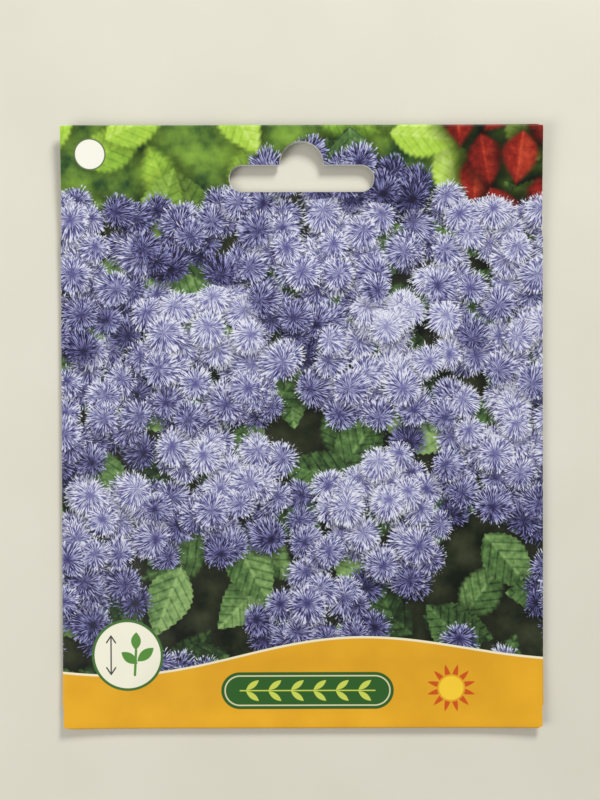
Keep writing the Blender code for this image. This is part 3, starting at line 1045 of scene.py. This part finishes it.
def slot_outline(grow):
    """The slot's outline, anticlockwise, grown outwards by this much."""
    end = SLOT_HEIGHT / 2
    reach, middle = SLOT_WIDTH / 2 - end, SLOT_LOW + end
    radius = HUMP_RADIUS + grow
    meet = math.degrees(math.asin((SLOT_LOW + SLOT_HEIGHT + grow - HUMP_MIDDLE) / radius))
    right = arc((reach, middle), end + grow, -90, 90)
    hump = arc((0, HUMP_MIDDLE), radius, meet, 180 - meet)
    left = arc((-reach, middle), end + grow, 90, 270)
    return right + hump + left


print("slot", SLOT_WIDTH, "mm wide,", round(SLOT_HEIGHT + HUMP_RISE, 1), "mm high in all")

# %% [markdown]
# The cutter is a solid with the slot's outline at both ends, and a Boolean modifier takes it out
# of the sheet. Its faces are of bare paper, and the sheet's cut edges take that from them. Then
# the modifiers are applied, and edges sharper than a fold's steps are marked, so that the paper
# looks smooth over its folds and crisp at its cuts.

# %% Cutting the slot
def slot_cutter(inks):
    """The solid that is taken out of a sheet with these inks."""
    bm = bmesh.new()
    rings = []
    for z, grow in CUTTER_ENDS:
        rings.append([bm.verts.new(Vector((x, y, z)) * MM) for x, y in slot_outline(grow)])
    count = len(rings[0])
    for i in range(count):
        ahead = (i + 1) % count
        bm.faces.new((rings[0][i], rings[0][ahead], rings[1][ahead], rings[1][i]))
    bm.faces.new(rings[1])
    bm.faces.new(list(reversed(rings[0])))
    bmesh.ops.recalc_face_normals(bm, faces=bm.faces)
    mesh = bpy.data.meshes.new("slot_cutter")
    bm.to_mesh(mesh)
    bm.free()
    for ink in inks:
        mesh.materials.append(ink)
    for face in mesh.polygons:
        face.material_index = BARE
    cutter = bpy.data.objects.new("slot_cutter", mesh)
    bpy.context.scene.collection.objects.link(cutter)
    return cutter


def punch(piece):
    """Cuts the slot through a sheet, with bare paper on the cut."""
    cutter = slot_cutter(piece.data.materials)
    cut = piece.modifiers.new("punch", "BOOLEAN")
    cut.object = cutter
    graph = bpy.context.evaluated_depsgraph_get()
    made = bpy.data.meshes.new_from_object(piece.evaluated_get(graph))
    piece.modifiers.clear()
    piece.data = made
    piece.data.name = piece.name
    piece.data.set_sharp_from_angle(angle=SHARP_ANGLE)
    bpy.data.objects.remove(cutter)
    print(piece.name, len(made.polygons), "faces")


# %% [markdown]
# Bare paper is white and matte. It shows on the cut edges and inside. Its fibres are too fine to
# model, so fine noise gives them a faint tint and a bump.

# %% Bare paper
bare_paper, shader, place = start_material("bare_paper", Roughness=0.82)
inputs = {"Vector": place, "Scale": 2.4, "Detail": 5.0, "Roughness": 0.7}
fibres = place.add("TexNoise", None, inputs)
stops = [(0.3, (0.70, 0.69, 0.65)), (0.7, (0.83, 0.82, 0.79))]
feed(shader, "Base Color", fibres.add("ValToRGB", {"stops": stops}, {"Fac": fibres}))
feed_bump(shader, fibres, 0.012)
print("bare paper:", len(bare_paper.node_tree.nodes), "nodes")

# %% [markdown]
# The rows, the inks and the slot now come together in two pieces, which take the place of the
# packed envelope. Nothing on a closed packet moves, so both ride on its one body.

# %% The envelope
inks = (front_print, back_print, bare_paper)
for name, stations, side_flaps in (
    ("front_and_flaps", front_stations(), True),
    ("back_panel", back_stations(), False),
):
    piece = sheet_piece(name, stations, inks, side_flaps)
    punch(piece)
    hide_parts("envelope")
    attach(piece, "root")

# %% [markdown]
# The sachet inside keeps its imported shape, and the foil's finish comes from nodes: one noise
# gives the crinkles their height, tint and gloss, and the sealed border is crimped in fine
# slanting ribs.

# %% The sachet's foil
SEAL_WIDTH = 7.0
SEAL_INSIDE = [half - SEAL_WIDTH for half in SACHET_HALVES]
RIB_STEP, RIB_WIDTH = 1.4, 0.7
foil, shader, place = start_material("foil", Metallic=0.85, Specular_IOR_Level=0.5)
inputs = {"Vector": place, "Scale": 0.22, "Detail": 5.0, "Roughness": 0.6}
crinkles = place.add("TexNoise", None, inputs)
stops = [(0.3, (0.66, 0.67, 0.69)), (0.7, (0.86, 0.87, 0.88))]
feed(shader, "Base Color", crinkles.add("ValToRGB", {"stops": stops}, {"Fac": crinkles}))
feed(shader, "Roughness", crinkles * 0.3 + 0.15)
sealed = border_distance(place, (0.0, SACHET_Y), *SEAL_INSIDE).ramp(-0.2, 0.2)
ribs = comb(place.part("x") + place.part("y"), RIB_STEP, RIB_WIDTH)
feed_bump(shader, crinkles + sealed * ribs * 0.3, 0.2)
print("foil:", len(foil.node_tree.nodes), "nodes")

# %% [markdown]
# The seeds are dark and dull, with fine streaks from a noise that is stretched up the packet. They
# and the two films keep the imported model's meshes, so only the materials are swapped.

# %% The seeds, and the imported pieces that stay
husk, shader, place = start_material("husk", Roughness=0.6)
inputs = {"Vector": place * Vector((3, 0.6, 3)), "Scale": 1.5, "Detail": 4.0}
streaks = place.add("TexNoise", None, inputs)
stops = [(0.35, (0.012, 0.009, 0.008)), (0.7, (0.11, 0.085, 0.06))]
feed(shader, "Base Color", streaks.add("ValToRGB", {"stops": stops}, {"Fac": streaks}))
feed_bump(shader, streaks, 0.03)

for name, finish in (("sachet_back_film", foil), ("sachet_front_film", foil), ("seeds", husk)):
    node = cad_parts[name]
    for material_slot in node.material_slots:
        material_slot.material = finish
    print(name, "has", len(node.material_slots), "material slot in", finish.name)

# %% [markdown]
# The packet lies on a pale beige board, which shows through the slot. It is faintly uneven in
# tone, so that it doesn't look like a flat fill of colour.

# %% The floor's finish
board, shader, place = start_material("board", Roughness=0.6)
mottle = place.add("TexNoise", None, {"Vector": place, "Scale": 0.03, "Detail": 4.0})
stops = [(0.3, (0.680, 0.655, 0.550)), (0.7, (0.720, 0.695, 0.595))]
feed(shader, "Base Color", mottle.add("ValToRGB", {"stops": stops}, {"Fac": mottle}))
floor_mesh.materials.append(board)
print("board:", len(board.node_tree.nodes), "nodes")
